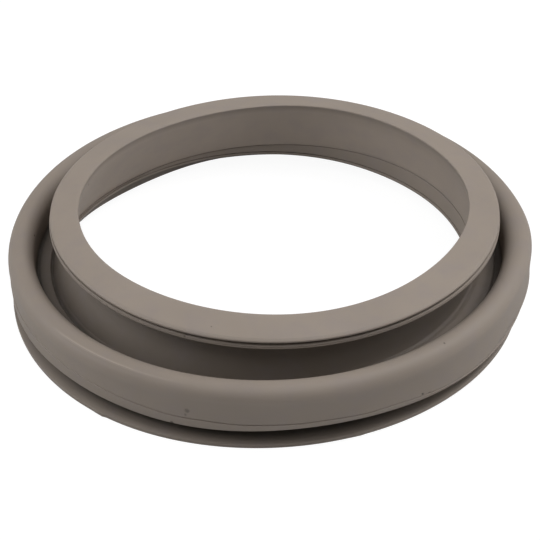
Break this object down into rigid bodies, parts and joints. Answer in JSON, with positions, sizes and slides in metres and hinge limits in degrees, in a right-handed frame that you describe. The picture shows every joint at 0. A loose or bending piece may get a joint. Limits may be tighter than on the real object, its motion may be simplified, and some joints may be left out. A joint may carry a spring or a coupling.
{
  "type": "washing machine door seal",
  "caption": "Moulded rubber bellows ring that seals a front-loading washing machine's door opening to its tub, with a grooved top flange, flared neck, rolled fold and foot flange",
  "frame": {"origin": "middle of the ring's outline, on the plane that the foot lies on; the foot's own axis stands 2.1 mm toward -X and 1.3 mm toward +Y of it, because the soft roll has settled to one side", "axes": "+Z runs along the ring's axis from the tub side to the door side; +X is the side toward which the soft neck and the roll have settled; +Y completes the right-handed frame"},
  "size_m": [0.3844, 0.3828, 0.0724],
  "materials": {
    "moulded_rubber": "matt grey-taupe moulded rubber with a light dusty bloom"
  },
  "bodies": {
    "root": {"door_seal": "moulded_rubber"}
  },
  "joints": []
}
